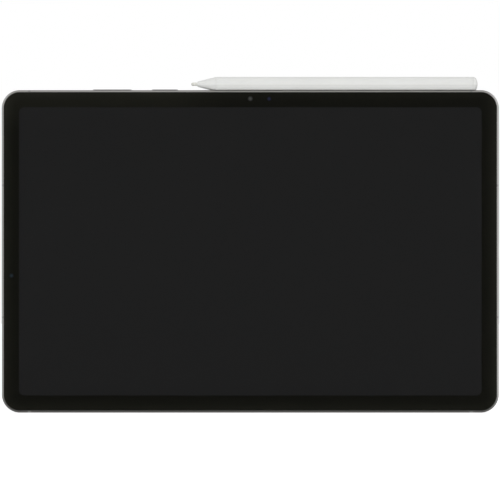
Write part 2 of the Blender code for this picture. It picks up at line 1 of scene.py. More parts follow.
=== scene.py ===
"""The looks of a tablet computer and its docked stylus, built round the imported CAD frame.

Metres, +Z up. The screen faces -Y and the tablet stands on its bottom edge, at z 0.
Each piece takes its place from the CAD nodes, and repeats part.py's own roundings.
"""

import math

import bmesh
import bpy
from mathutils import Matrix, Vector


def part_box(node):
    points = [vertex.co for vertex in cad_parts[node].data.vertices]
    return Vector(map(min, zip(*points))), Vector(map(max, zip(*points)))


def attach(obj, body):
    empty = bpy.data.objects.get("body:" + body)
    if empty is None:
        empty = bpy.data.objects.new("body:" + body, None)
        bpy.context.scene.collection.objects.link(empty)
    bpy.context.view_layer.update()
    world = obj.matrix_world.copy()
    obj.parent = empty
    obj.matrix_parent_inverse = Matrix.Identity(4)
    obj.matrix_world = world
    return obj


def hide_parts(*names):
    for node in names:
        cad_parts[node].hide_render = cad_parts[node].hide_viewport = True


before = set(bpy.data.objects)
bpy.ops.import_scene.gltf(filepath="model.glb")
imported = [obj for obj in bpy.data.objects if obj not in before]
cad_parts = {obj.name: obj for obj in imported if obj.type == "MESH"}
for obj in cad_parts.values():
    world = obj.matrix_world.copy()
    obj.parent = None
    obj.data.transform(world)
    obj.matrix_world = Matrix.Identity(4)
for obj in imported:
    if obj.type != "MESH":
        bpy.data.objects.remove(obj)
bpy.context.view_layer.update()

MM = 0.001

# Places read from the frame
BODY_LOW, BODY_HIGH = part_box("housing")
GLASS_LOW, GLASS_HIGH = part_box("cover_glass")
RIGHT = BODY_HIGH.x
TOP = BODY_HIGH.z
MIDDLE = TOP / 2
RIM_FRONT = BODY_LOW.y
BACK = BODY_HIGH.y

# The design's own roundings and clearances
CORNER_RADIUS = 9.3 * MM
SIDE_WALL = 2.2 * MM
BACK_WALL = 0.8 * MM
RIM_WIDTH = 1.05 * MM
WALL_FLAT = 0.9 * MM
FRONT_FALL = 1.0 * MM
FRONT_TURN = math.radians(75)
REAR_FALL = 1.8 * MM
POCKET_BACK = -2.3 * MM
FIT = 0.05 * MM
INNER_RIGHT = RIGHT - SIDE_WALL
INNER_TOP = TOP - SIDE_WALL
FLOOR = BACK - BACK_WALL

# The lit area and its border, centred on the glass
SCREEN_WIDTH = 236.3 * MM
SCREEN_HEIGHT = 147.2 * MM
SCREEN_CORNER = 2.8 * MM
SCREEN_COLUMNS = 2560
BORDER_WIDTH = 7.75 * MM
INK_FRONT = GLASS_HIGH.y + 0.005 * MM
INK_BACK = GLASS_HIGH.y + 0.04 * MM

# Cameras and sensors
FRONT_CAMERA = Vector((0.0, 0.0, 160.4 * MM))
LIGHT_SENSOR = Vector((9.6 * MM, 0.0, 160.3 * MM))
SIDE_SENSOR = Vector((-122.0 * MM, 0.0, 70.0 * MM))

# Openings in the short sides
SPEAKER_PITCH = 2.1 * MM
SPEAKER_HOLES = 6
SPEAKER_HOLE = 0.65 * MM

# The stylus
STYLUS_RADIUS = 3.7 * MM
STYLUS_FLAT = 3.0 * MM
STYLUS_BORE = 2.3 * MM
STYLUS_EDGE = 0.09 * MM
CAP_ROUND = 1.0 * MM
CAP_DOME = 1.2 * MM
CONE_END_RADIUS = 1.35 * MM
NIB_RADIUS = 0.85 * MM

QUARTER = math.pi / 2
TINY = 0.001 * MM
SMOOTH_ANGLE = math.radians(32)

# How far a cutter starts inside a wall and ends past it, and the share of a slot's
# half height that its rounded corners take, so that they stop just short of meeting
OVERLAP = 0.1 * MM
PAST = 1.0 * MM
NEAR_ROUND = 0.98
TRAY_ROUND = 0.95


# ---------------------------------------------------------------- shapes

def add_box(form, low, high, along="Y", radius=0.0, segments=10):
    """Adds a box between two corners, with its four edges along one axis rounded."""
    made = bmesh.ops.create_cube(form, size=1.0)["verts"]
    for vertex in made:
        ends = zip(low, high, vertex.co)
        vertex.co = Vector([a + (b - a) * (c + 0.5) for a, b, c in ends])
    if not radius:
        return
    axis = "XYZ".index(along)
    edges = {edge for vertex in made for edge in vertex.link_edges}
    edges = [e for e in edges if e.verts[0].co[axis] != e.verts[1].co[axis]]
    bmesh.ops.bevel(form, geom=edges, offset=radius, segments=segments, profile=0.5, affect="EDGES")


def round_end(form, axis, place, radius, segments):
    """Rounds the edges of the end face that lies at one place along an axis."""
    index = "XYZ".index(axis)
    edges = [e for e in form.edges if all(abs(v.co[index] - place) < TINY for v in e.verts)]
    bmesh.ops.bevel(form, geom=edges, offset=radius, segments=segments, profile=0.5, affect="EDGES")


def spin(form, profile, middle, along, steps):
    """Turns (radius, distance) points about an axis through middle."""
    index = "XYZ".index(along)
    out = (index + 1) % 3
    points = []
    for radius, distance in profile:
        place = Vector(middle)
        place[index] = distance
        place[out] += radius
        points.append(form.verts.new(place))
    edges = [form.edges.new(pair) for pair in zip(points, points[1:])]
    if profile[0][0] > 0.0:
        edges.append(form.edges.new((points[-1], points[0])))
    axis = Vector((0.0, 0.0, 0.0))
    axis[index] = 1.0
    bmesh.ops.spin(
        form, geom=points + edges, cent=middle, axis=axis, angle=2 * math.pi, steps=steps,
        use_merge=True,
    )
    bmesh.ops.remove_doubles(form, verts=form.verts, dist=TINY / 10)
    bmesh.ops.recalc_face_normals(form, faces=form.faces)


def solid(name, form):
    mesh = bpy.data.meshes.new(name)
    form.to_mesh(mesh)
    form.free()
    piece = bpy.data.objects.new(name, mesh)
    bpy.context.scene.collection.objects.link(piece)
    return piece


def box(name, low, high, along="Y", radius=0.0, segments=10):
    form = bmesh.new()
    add_box(form, low, high, along, radius, segments)
    return solid(name, form)


def turned(name, profile, middle, along, steps=64):
    form = bmesh.new()
    spin(form, profile, middle, along, steps)
    return solid(name, form)


def rod(name, middle, radius, start, end, along, steps=48):
    profile = [(0.0, start), (radius, start), (radius, end), (0.0, end)]
    return turned(name, profile, middle, along, steps)


def arc(centre, radius, first, last, steps):
    """Points of an arc, as (radius, distance) pairs, between two angles in radians."""
    angles = [first + (last - first) * step / steps for step in range(steps + 1)]
    return [(centre[0] + radius * math.cos(a), centre[1] + radius * math.sin(a)) for a in angles]


def apply_modifiers(piece):
    graph = bpy.context.evaluated_depsgraph_get()
    mesh = bpy.data.meshes.new_from_object(piece.evaluated_get(graph))
    piece.modifiers.clear()
    piece.data = mesh


def carve(piece, *cutters, operation="DIFFERENCE"):
    """Cuts each cutter from the piece and removes the cutters."""
    for cutter in cutters:
        modifier = piece.modifiers.new(cutter.name, "BOOLEAN")
        modifier.operation = operation
        modifier.object = cutter
    apply_modifiers(piece)
    for cutter in cutters:
        bpy.data.objects.remove(cutter, do_unlink=True)


def join(piece, *others):
    carve(piece, *others, operation="UNION")


def soften(piece, width):
    """Rounds the sharp edges of a finished form."""
    bevel = piece.modifiers.new("soften", "BEVEL")
    bevel.width = width
    bevel.segments = 3
    bevel.limit_method = "ANGLE"
    bevel.angle_limit = math.radians(30)
    bevel.harden_normals = False
    apply_modifiers(piece)


def finish(piece, material, body, slot, *stands_for):
    """Shades a piece, gives it its material, and fixes it to its CAD body."""
    piece.data.shade_smooth()
    piece.data.set_sharp_from_angle(angle=SMOOTH_ANGLE)
    weighted = piece.modifiers.new("even_normals", "WEIGHTED_NORMAL")
    weighted.keep_sharp = True
    piece.data.materials.clear()
    piece.data.materials.append(material)
    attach(piece, body)
    if stands_for:
        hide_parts(*stands_for)


# ---------------------------------------------------------------- materials

def new_material(name):
    material = bpy.data.materials.new(name)
    material.use_nodes = True
    return material, material.node_tree, material.node_tree.nodes["Principled BSDF"]


def node(tree, kind, inputs=None, **settings):
    """Adds a node. An input takes a plain value, or another node's output."""
    made = tree.nodes.new("ShaderNode" + kind)
    for name, value in settings.items():
        setattr(made, name, value)
    for name, value in (inputs or {}).items():
        plug(tree, made.inputs[name], value)
    return made


def plug(tree, socket, value):
    if isinstance(value, bpy.types.NodeSocket):
        tree.links.new(value, socket)
    else:
        socket.default_value = value


def calc(tree, operation, first, second=0.0, third=0.0):
    values = {0: first, 1: second, 2: third}
    return node(tree, "Math", values, operation=operation).outputs[0]


def place_of(tree):
    return node(tree, "TexCoord").outputs["Object"]


def noise(tree, size, detail=2.0, stretch=None):
    """Noise from 0 to 1 whose spots are about size metres across."""
    vector = place_of(tree)
    if stretch:
        vector = node(tree, "Mapping", {"Vector": vector, "Scale": stretch}).outputs[0]
    inputs = {"Vector": vector, "Scale": 1.0 / size, "Detail": detail}
    return node(tree, "TexNoise", inputs).outputs[0]


def spread(tree, value, low, high):
    """Maps 0.3 to 0.7, where noise mostly lies, to low to high."""
    inputs = {"Value": value, "From Min": 0.3, "From Max": 0.7, "To Min": low, "To Max": high}
    return node(tree, "MapRange", inputs).outputs[0]


def ramp(tree, value, low, high, from_low=-1.0, from_high=1.0):
    inputs = {
        "Value": value, "From Min": from_low, "From Max": from_high, "To Min": low, "To Max": high,
    }
    return node(tree, "MapRange", inputs, interpolation_type="SMOOTHSTEP").outputs[0]


def blend(tree, share, first, second):
    """Mixes two colours."""
    return node(tree, "Mix", {0: share, 6: first, 7: second}, data_type="RGBA").outputs[2]


def rgba(colour):
    """A colour with the fourth value, opacity, that sockets take."""
    return (*colour, 1.0)


def scaled(colour, factor):
    return (*(part * factor for part in colour), 1.0)


def bump(tree, shader, height, depth):
    """Raises the surface by up to depth where height is high."""
    made = node(tree, "Bump", {"Height": height, "Distance": depth, "Strength": 1.0})
    tree.links.new(made.outputs[0], shader.inputs["Normal"])


def metal(name, colour, roughness, grain=0.12 * MM, depth=0.003 * MM, stretch=None):
    """Blasted and anodised metal: a fine grain, faint clouding, and a slightly uneven gloss."""
    material, tree, shader = new_material(name)
    shader.inputs["Metallic"].default_value = 1.0
    clouds = spread(tree, noise(tree, 30 * MM, 3.0), 0.0, 1.0)
    base = blend(tree, clouds, scaled(colour, 0.99), scaled(colour, 1.01))
    tree.links.new(base, shader.inputs["Base Color"])
    fine = noise(tree, grain, 2.0, stretch)
    gloss = calc(tree, "ADD", spread(tree, fine, -0.03, 0.03), spread(tree, clouds, -0.006, 0.006))
    tree.links.new(calc(tree, "ADD", gloss, roughness), shader.inputs["Roughness"])
    bump(tree, shader, fine, depth)
    return material


def plastic(name, colour, roughness, grain=0.3 * MM, depth=0.002 * MM):
    """Moulded plastic: a faint orange peel and a little unevenness in colour and gloss."""
    material, tree, shader = new_material(name)
    clouds = noise(tree, 12 * MM, 3.0)
    ends = scaled(colour, 0.97), scaled(colour, 1.03)
    tree.links.new(blend(tree, spread(tree, clouds, 0.0, 1.0), *ends), shader.inputs["Base Color"])
    fine = noise(tree, grain, 2.0)
    level = spread(tree, fine, roughness - 0.03, roughness + 0.03)
    tree.links.new(level, shader.inputs["Roughness"])
    bump(tree, shader, fine, depth)
    return material


def clear_glass(name, tint=(1.0, 1.0, 1.0)):
    """Clear glass: what is behind it, with a mirror that grows towards a grazing view."""
    material, tree, shader = new_material(name)
    tree.nodes.remove(shader)
    output = tree.nodes["Material Output"]
    facing = node(tree, "LayerWeight", {"Blend": 0.5}).outputs["Facing"]
    grazing = calc(tree, "MULTIPLY_ADD", calc(tree, "POWER", facing, 5.0), 0.96, 0.04)
    through = node(tree, "BsdfTransparent", {"Color": rgba(tint)})
    uneven = spread(tree, noise(tree, 22 * MM, 4.0), 0.02, 0.05)
    mirror = node(tree, "BsdfGlossy", {"Color": rgba((1.0, 1.0, 1.0)), "Roughness": uneven})
    both = node(tree, "MixShader", {0: grazing, 1: through.outputs[0], 2: mirror.outputs[0]})
    tree.links.new(both.outputs[0], output.inputs["Surface"])
    return material


def border_ink_and_reflection():
    """The printed border: warm near-black, with a painted reflection that lightens it towards the
    glass's edge by a level for each side, and lighter at the top left.
    """
    material, tree, shader = new_material("border_ink_and_reflection")
    axes = node(tree, "SeparateXYZ", {0: place_of(tree)}).outputs
    half_width, half_height = GLASS_HIGH.x, (GLASS_HIGH.z - GLASS_LOW.z) / 2
    corner = CORNER_RADIUS - RIM_WIDTH - FIT
    x = axes[0]
    z = calc(tree, "SUBTRACT", axes[2], MIDDLE)
    beyond = []
    for value, half in ((x, half_width), (z, half_height)):
        beyond.append(calc(tree, "SUBTRACT", calc(tree, "ABSOLUTE", value), half - corner))
    outside = [calc(tree, "MAXIMUM", value, 0.0) for value in beyond]
    squares = [calc(tree, "MULTIPLY", value, value) for value in outside]
    reach = calc(tree, "SQRT", calc(tree, "ADD", *squares))
    inside = calc(tree, "MINIMUM", calc(tree, "MAXIMUM", *beyond), 0.0)
    inset = calc(tree, "SUBTRACT", corner, calc(tree, "ADD", reach, inside))
    # Painted reflection: the ink lightens towards the glass's edge, by a level for each side
    near = calc(tree, "SUBTRACT", 1.0, calc(tree, "DIVIDE", inset, BORDER_WIDTH))
    reflection_falloff = calc(tree, "POWER", calc(tree, "MAXIMUM", near, 0.0), 2.5)
    at_side = ramp(tree, calc(tree, "SUBTRACT", *beyond), 0.0, 1.0, -6 * MM, 6 * MM)
    up_reflection = ramp(tree, z, INK_REFLECTION_BOTTOM, INK_REFLECTION_TOP, -half_height, half_height)
    side_reflection = ramp(tree, x, INK_REFLECTION_LEFT, INK_REFLECTION_RIGHT, -half_width, half_width)
    edge = node(tree, "Mix", {0: at_side, 2: up_reflection, 3: side_reflection}, data_type="FLOAT").outputs[0]
    base = ramp(tree, z, INK_LOW, INK_HIGH, -0.8 * half_height, 0.6 * half_height)
    level = calc(tree, "MULTIPLY_ADD", edge, reflection_falloff, base)
    across = ramp(tree, x, INK_TOP_LEFT, 0.0, *INK_TOP_LEFT_FADE)
    upward = ramp(tree, z, 0.0, 1.0, half_height - 22 * MM, half_height - 6 * MM)
    level = calc(tree, "MULTIPLY", level, calc(tree, "MULTIPLY_ADD", across, upward, 1.0))
    specks = spread(tree, noise(tree, 0.4 * MM), 0.97, 1.03)
    level = calc(tree, "MULTIPLY", level, specks)
    parts = [calc(tree, "MULTIPLY", level, tint) for tint in INK_TINT]
    colour = node(tree, "CombineColor", dict(enumerate(parts))).outputs[0]
    tree.links.new(colour, shader.inputs["Base Color"])
    shader.inputs["Roughness"].default_value = 0.6
    shader.inputs["Specular IOR Level"].default_value = 0.0
    return material


def display_off():
    """An unlit display behind bonded glass: even dark grey with a trace of its pixel grid."""
    material, tree, shader = new_material("display_off")
    pitch = SCREEN_WIDTH / SCREEN_COLUMNS
    axes = node(tree, "SeparateXYZ", {0: place_of(tree)}).outputs
    waves = []
    for value in (axes[0], axes[2]):
        turns = calc(tree, "MULTIPLY", value, 2 * math.pi / pitch)
        waves.append(calc(tree, "COSINE", turns))
    grid = calc(tree, "MULTIPLY_ADD", calc(tree, "MAXIMUM", *waves), 0.5, 0.5)
    clouds = spread(tree, noise(tree, 60 * MM, 2.0), 0.0, 0.3)
    share = calc(tree, "MULTIPLY_ADD", grid, 0.2, clouds)
    ends = scaled(DISPLAY_GREY, 0.98), scaled(DISPLAY_GREY, 1.03)
    tree.links.new(blend(tree, share, *ends), shader.inputs["Base Color"])
    shader.inputs["Roughness"].default_value = 0.5
    shader.inputs["Specular IOR Level"].default_value = 0.0
    return material


def from_middle(tree, middle):
    """The distance from a line through middle that runs along Y."""
    away = node(tree, "VectorMath", {0: place_of(tree), 1: middle}, operation="SUBTRACT")
    flat = node(tree, "VectorMath", {0: away.outputs[0], 1: (1.0, 0.0, 1.0)}, operation="MULTIPLY")
    return node(tree, "VectorMath", {0: flat.outputs[0]}, operation="LENGTH").outputs["Value"]


def optic_tint(tree, centre, rim, middle, radius):
    """A tint that fades from the middle of a lens to its rim, with a little dust."""
    share = ramp(tree, from_middle(tree, middle), 0.0, 1.0, 0.0, radius)
    colour = blend(tree, share, rgba(centre), rgba(rim))
    dust = spread(tree, noise(tree, 0.15 * MM), 0.97, 1.03)
    return node(tree, "VectorMath", {0: colour, "Scale": dust}, operation="SCALE").outputs[0]


def deep_optic(name, centre, rim, middle, radius):
    """A lens or sensor seen through the cover glass, with no shine of its own."""
    material, tree, shader = new_material(name)
    tint = optic_tint(tree, centre, rim, middle, radius)
    tree.links.new(tint, shader.inputs["Base Color"])
    shader.inputs["Roughness"].default_value = 0.5
    shader.inputs["Specular IOR Level"].default_value = 0.05
    return material


def coated_optic(name, centre, rim, middle, radius):
    """A dark coated lens with a clear shine."""
    material, tree, shader = new_material(name)
    tint = optic_tint(tree, centre, rim, middle, radius)
    tree.links.new(tint, shader.inputs["Base Color"])
    shader.inputs["Roughness"].default_value = 0.05
    shader.inputs["Coat Weight"].default_value = 0.5
    shader.inputs["Coat Roughness"].default_value = 0.03
    return material


def stylus_axis():
    """A point on the stylus's long axis, which runs along X."""
    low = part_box("stylus_barrel")[0]
    return Vector((0.0, 0.0, low.z + STYLUS_FLAT))


def white_satin(name, colour, roughness=0.34, worn_to=None):
    """The stylus's moulded white: satin with a faint peel, with painted shade below its middle and at
    its tail.
    """
    material, tree, shader = new_material(name)
    clouds = spread(tree, noise(tree, 18 * MM, 3.0), 0.0, 1.0)
    base = blend(tree, clouds, scaled(colour, 0.985), scaled(colour, 1.01))
    x, _, z = node(tree, "SeparateXYZ", {0: place_of(tree)}).outputs
    if worn_to:
        start, end, shade = worn_to
        inputs = {"Value": x, "From Min": start, "From Max": end}
        base = blend(tree, node(tree, "MapRange", inputs).outputs[0], rgba(shade), base)
    middle = stylus_axis().z
    # Painted shade: darker below the stylus's middle, darker still lowest down, and darker towards its
    # tail
    under = ramp(tree, z, UNDER_SHADE, 1.0, middle - 0.55 * MM, middle - 0.1 * MM)
    lowest = ramp(tree, z, LOWEST_SHADE, 1.0, middle - 2.2 * MM, middle - 0.8 * MM)
    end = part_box("stylus_cap")[1].x
    tail = ramp(tree, x, 1.0, TAIL_SHADE, end - 2.2 * MM, end - 0.4 * MM)
    painted_shade = calc(tree, "MULTIPLY", calc(tree, "MULTIPLY", under, lowest), tail)
    base = node(tree, "VectorMath", {0: base, "Scale": painted_shade}, operation="SCALE").outputs[0]
    tree.links.new(base, shader.inputs["Base Color"])
    fine = noise(tree, 0.25 * MM, 2.0)
    tree.links.new(spread(tree, fine, roughness - 0.03, roughness + 0.03), shader.inputs["Roughness"])
    bump(tree, shader, fine, 0.0015 * MM)
    shader.inputs["Subsurface Weight"].default_value = 0.08
    shader.inputs["Subsurface Radius"].default_value = (0.8 * MM, 0.8 * MM, 0.7 * MM)
    shader.inputs["Subsurface Scale"].default_value = 1.0
    return material


def woven_mesh(name, colour):
    """A fine woven dust mesh: two sets of wires with dark gaps between them."""
    material, tree, shader = new_material(name)
    pitch = 0.22 * MM
    axes = node(tree, "SeparateXYZ", {0: place_of(tree)}).outputs
    wires = [
        calc(tree, "SINE", calc(tree, "MULTIPLY", axis, 2 * math.pi / pitch))
        for axis in (axes[1], axes[2])
    ]
    over = calc(tree, "MULTIPLY_ADD", calc(tree, "MAXIMUM", *wires), 0.5, 0.5)
    tree.links.new(blend(tree, over, scaled(colour, 0.1), rgba(colour)), shader.inputs["Base Color"])
    shader.inputs["Metallic"].default_value = 0.8
    tree.links.new(spread(tree, over, 0.4, 0.55), shader.inputs["Roughness"])
    bump(tree, shader, over, 0.05 * MM)
    return material


def flash_optic(middle, radius):
    """A clear moulded lens over a yellow lamp, with rings that spread the light."""
    material, tree, shader = new_material("flash_optic")
    length = from_middle(tree, middle)
    share = ramp(tree, length, 0.0, 1.0, 0.3 * radius, 0.6 * radius)
    colour = blend(tree, share, rgba((0.78, 0.66, 0.22)), rgba((0.62, 0.62, 0.58)))
    tree.links.new(colour, shader.inputs["Base Color"])
    rings = calc(tree, "SINE", calc(tree, "MULTIPLY", length, 2 * math.pi / (0.3 * MM)))
    bump(tree, shader, rings, 0.03 * MM)
    shader.inputs["Roughness"].default_value = 0.15
    shader.inputs["Coat Weight"].default_value = 0.6
    return material


def circuit_board(name):
    """Green solder mask with faint copper tracks under it."""
    material, tree, shader = new_material(name)
    inputs = {"Vector": place_of(tree), "Scale": 1 / (2.5 * MM)}
    cells = node(tree, "TexVoronoi", inputs, distance="MANHATTAN")
    share = spread(tree, cells.outputs["Distance"], 0.0, 1.0)
    colour = blend(tree, share, rgba((0.02, 0.09, 0.06)), rgba((0.008, 0.05, 0.035)))
    tree.links.new(colour, shader.inputs["Base Color"])
    bump(tree, shader, share, 0.01 * MM)
    shader.inputs["Roughness"].default_value = 0.4
    return material


# Colours and levels as linear light. A painted reflection lightens the ink towards the glass's edge by
# a level for each side, and painted shade keeps a share of the stylus's colour underneath and at its
# tail.
INK_LOW = 0.0072
INK_HIGH = 0.0074
# The painted reflection's level at the glass's edge, one for each side
INK_REFLECTION_LEFT = 0.0084
INK_REFLECTION_RIGHT = 0.0130
INK_REFLECTION_BOTTOM = 0.0076
INK_REFLECTION_TOP = 0.0049
INK_TOP_LEFT = 0.55
INK_TOP_LEFT_FADE = (-46 * MM, -12 * MM)
INK_TINT = (0.995, 1.0, 0.75)
DISPLAY_GREY = (0.0168, 0.0168, 0.0168)
FRAME_GREY = (0.412, 0.403, 0.39)
KEY_GREY = (0.19, 0.186, 0.186)
STYLUS_WHITE = (0.825, 0.83, 0.81)
# Painted shade on the stylus: the share of its colour kept below its middle, lowest down, and at its
# tail
UNDER_SHADE = 0.88
LOWEST_SHADE = 0.95
TAIL_SHADE = 0.78

ALUMINIUM = metal("anodised_aluminium", FRAME_GREY, 0.36)
KEY_METAL = metal("key_aluminium", KEY_GREY, 0.34)
RING_METAL = metal("ring_aluminium", (0.36, 0.355, 0.35), 0.22, grain=0.08 * MM)
STEEL = metal("stamped_steel", (0.56, 0.555, 0.55), 0.3, grain=0.1 * MM, stretch=(0.1, 1.0, 1.0))
CONTACTS = metal("gold_contacts", (0.83, 0.60, 0.28), 0.25, grain=0.05 * MM)
SPLIT = plastic("split_plastic", (0.27, 0.267, 0.26), 0.5)
BLACK = plastic("black_plastic", (0.018, 0.018, 0.018), 0.45)
FOAM = plastic("foam_tape", (0.02, 0.02, 0.02), 0.85, grain=0.15 * MM, depth=0.02 * MM)
GLASS = clear_glass("clear_glass")
CAMERA_GLASS = clear_glass("camera_glass", tint=(0.82, 0.84, 0.88))
# The border's ink, with a painted reflection towards the glass's edge
INK_AND_REFLECTION = border_ink_and_reflection()
DISPLAY = display_off()
WHITE = white_satin("stylus_white", STYLUS_WHITE)
MESH = woven_mesh("speaker_mesh", (0.16, 0.16, 0.16))
BOARD = circuit_board("circuit_board")
POUCH = plastic("battery_pouch", (0.05, 0.05, 0.055), 0.4, grain=1.5 * MM, depth=0.03 * MM)
COPPER = metal("copper", (0.72, 0.36, 0.20), 0.3, grain=0.3 * MM, stretch=(1.0, 1.0, 0.05))
LIGHT_GUIDE = plastic("light_guide", (0.75, 0.75, 0.73), 0.3)


# ---------------------------------------------------------------- the tablet

def inset_box(name, inset, y_front, y_back):
    """A rounded plate that follows the body's outline, moved in by inset."""
    low = (-RIGHT + inset, y_front, inset)
    high = (RIGHT - inset, y_back, TOP - inset)
    return box(name, low, high, "Y", CORNER_RADIUS - inset, 24)


def wall_profile(front_steps, rear_steps):
    """How far in the wall's outside lies, and its y: two arcs with a flat band between."""
    depth = -WALL_FLAT - RIM_FRONT
    reach = depth / math.sin(FRONT_TURN)
    fall = FRONT_FALL / (1 - math.cos(FRONT_TURN))
    for step in range(front_steps, -1, -1):
        angle = FRONT_TURN * step / front_steps
        yield fall * (1 - math.cos(angle)), -WALL_FLAT - reach * math.sin(angle)
    for step in range(rear_steps + 1):
        angle = QUARTER * step / rear_steps
        yield REAR_FALL * (1 - math.cos(angle)), WALL_FLAT + (BACK - WALL_FLAT) * math.sin(angle)


def outline(inset, y, corner_steps):
    """The body's rounded outline, moved in by inset, at one depth."""
    radius = CORNER_RADIUS - inset
    across = RIGHT - CORNER_RADIUS
    up = MIDDLE - CORNER_RADIUS
    for number, (side, level) in enumerate(((1, 1), (-1, 1), (-1, -1), (1, -1))):
        for step in range(corner_steps + 1):
            angle = QUARTER * (number + step / corner_steps)
            x = side * across + radius * math.cos(angle)
            z = MIDDLE + level * up + radius * math.sin(angle)
            yield x, y, z


def outer_form(name):
    """The body's outside: a rounded plate whose wall bulges a little all the way round."""
    form = bmesh.new()
    loops = []
    for inset, y in wall_profile(12, 12):
        loops.append([form.verts.new(place) for place in outline(inset, y, 24)])
    for first, second in zip(loops, loops[1:]):
        for number in range(len(first)):
            before = number - 1
            form.faces.new((first[before], first[number], second[number], second[before]))
    form.faces.new(loops[0])
    form.faces.new(loops[-1])
    bmesh.ops.recalc_face_normals(form, faces=form.faces)
    return solid(name, form)


def side_opening(name, node_name, gap, round_share, segments):
    """A cutter through the right wall, round a CAD node and wider than it by gap."""
    low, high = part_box(node_name)
    low = Vector((INNER_RIGHT - OVERLAP, low.y - gap, low.z - gap))
    high = Vector((RIGHT + PAST, high.y + gap, high.z + gap))
    return box(name, low, high, "X", round_share * (high.y - low.y) / 2, segments)


def key_face(node_name):
    """The box of the part of a key that stands in the wall, without its flange."""
    low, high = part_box(node_name)
    lip = 0.6 * MM
    return Vector((low.x + lip, low.y + lip, low.z)), Vector((high.x - lip, high.y - lip, high.z))


def key_hole(node_name):
    """The slot in the wall that a key's face moves in."""
    low, high = key_face(node_name)
    gap = 0.2 * MM
    low = Vector((low.x - gap, low.y - gap, INNER_TOP - PAST))
    high = Vector((high.x + gap, high.y + gap, TOP + PAST))
    return box(node_name + "_hole", low, high, "Z", NEAR_ROUND * (high.y - low.y) / 2, 10)


def speaker_row(node_name, side):
    """Round drilled holes with a small countersink, as one cutter."""
    low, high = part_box(node_name)
    middle = (low.z + high.z) / 2
    form = bmesh.new()
    outside, inside = RIGHT + 0.3 * MM, INNER_RIGHT - 0.05 * MM
    sink = 0.12 * MM
    profile = [
        (0.0, side * outside),
        (SPEAKER_HOLE + sink + 0.3 * MM, side * outside),
        (SPEAKER_HOLE, side * (RIGHT - sink)),
        (SPEAKER_HOLE, side * inside),
        (0.0, side * inside),
    ]
    for number in range(SPEAKER_HOLES):
        z = middle + SPEAKER_PITCH * (number - (SPEAKER_HOLES - 1) / 2)
        part = bmesh.new()
        spin(part, profile, (0.0, 0.0, z), "X", 24)
        mesh = bpy.data.meshes.new("hole")
        part.to_mesh(mesh)
        part.free()
        form.from_mesh(mesh)
        bpy.data.meshes.remove(mesh)
    return solid(node_name + "_holes", form)


def split_nodes():
    return sorted(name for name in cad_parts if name.startswith("antenna_split"))


def split_slab(node_name, gap):
    """A slab across the wall where a CAD split lies, wider than it by gap each way."""
    low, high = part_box(node_name)
    reach = 1.0 * MM
    upright = high.z - low.z < high.x - low.x
    low = Vector((low.x, -4 * MM, low.z))
    high = Vector((high.x, 4 * MM, high.z))
    along, across = (2, 0) if upright else (0, 2)
    low[along] -= gap
    high[along] += gap
    outward = (low[across] + high[across]) / 2 > (0.0 if upright else MIDDLE)
    if outward:
        low[across] -= 2 * gap
        high[across] += reach
    else:
        low[across] -= reach
        high[across] += 2 * gap
    return box(node_name + "_slab", low, high)


def make_shell():
    """The metal body, hollowed out, with every opening cut through its walls."""
    shell = outer_form("shell")
    pocket = inset_box("pocket", RIM_WIDTH, RIM_FRONT - PAST, POCKET_BACK)
    cavity = inset_box("cavity", SIDE_WALL, RIM_FRONT - 2 * MM, FLOOR)
    cutters = [pocket, cavity, key_hole("volume_rocker"), key_hole("power_button")]
    microphone_low, microphone_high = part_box("microphone")
    middle = (microphone_low + microphone_high) / 2
    start, end = INNER_TOP - OVERLAP, TOP + PAST
    cutters.append(rod("microphone_hole", middle, 0.5 * MM, start, end, "Z", 24))
    for label, side in (("left", -1), ("right", 1)):
        for level in ("lower", "upper"):
            cutters.append(speaker_row(f"speaker_{label}_{level}_mesh", side))
    cutters.append(side_opening("usb_hole", "usb_port_shell", 0.05 * MM, NEAR_ROUND, 16))
    cutters.append(side_opening("tray_hole", "card_tray", 0.1 * MM, TRAY_ROUND, 12))
    for node_name, radius in (("rear_camera_ring", 5.9 * MM), ("flash_lens", 2.15 * MM)):
        low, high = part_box(node_name)
        middle = (low + high) / 2
        cutters.append(rod(node_name + "_hole", middle, radius, FLOOR - OVERLAP, BACK + PAST, "Y"))
    cutters += [split_slab(name, FIT) for name in split_nodes()]
    carve(shell, *cutters)
    finish(shell, ALUMINIUM, "tablet", "frame_aluminium", "housing")


def make_splits():
    """The plastic strips that fill the shell's gaps, cut to its outside."""
    for name in split_nodes():
        split = split_slab(name, 0.0)
        split.name = name.replace("antenna_split", "split")
        carve(split, outer_form("outside"), operation="INTERSECT")
        carve(split, inset_box("pocket", RIM_WIDTH, RIM_FRONT - PAST, POCKET_BACK))
        finish(split, SPLIT, "tablet", "antenna_plastic", name)


def make_front():
    """The glass, and the printed border with its window and its three small openings."""
    form = bmesh.new()
    corner = CORNER_RADIUS - GLASS_LOW.x - RIGHT
    add_box(form, GLASS_LOW, GLASS_HIGH, "Y", corner, 24)
    round_end(form, "Y", GLASS_LOW.y, 0.12 * MM, 4)
    finish(solid("front_glass", form), GLASS, "tablet", "cover_glass", "cover_glass")
    inset = RIGHT - GLASS_HIGH.x + 0.03 * MM
    ink = inset_box("border_print", inset, INK_FRONT, INK_BACK)
    half_width, half_height = SCREEN_WIDTH / 2, SCREEN_HEIGHT / 2
    low = (-half_width, INK_FRONT - PAST, MIDDLE - half_height)
    high = (half_width, INK_BACK + PAST, MIDDLE + half_height)
    window = box("window", low, high, "Y", SCREEN_CORNER, 12)
    holes = [
        rod(name, place, radius, INK_FRONT - PAST, INK_BACK + PAST, "Y")
        for name, place, radius in (
            ("camera_opening", FRONT_CAMERA, 1.4 * MM),
            ("light_opening", LIGHT_SENSOR, 1.1 * MM),
            ("side_opening", SIDE_SENSOR, 1.2 * MM),
        )
    ]
    carve(ink, window, *holes)
    finish(ink, INK_AND_REFLECTION, "tablet", "cover_glass")


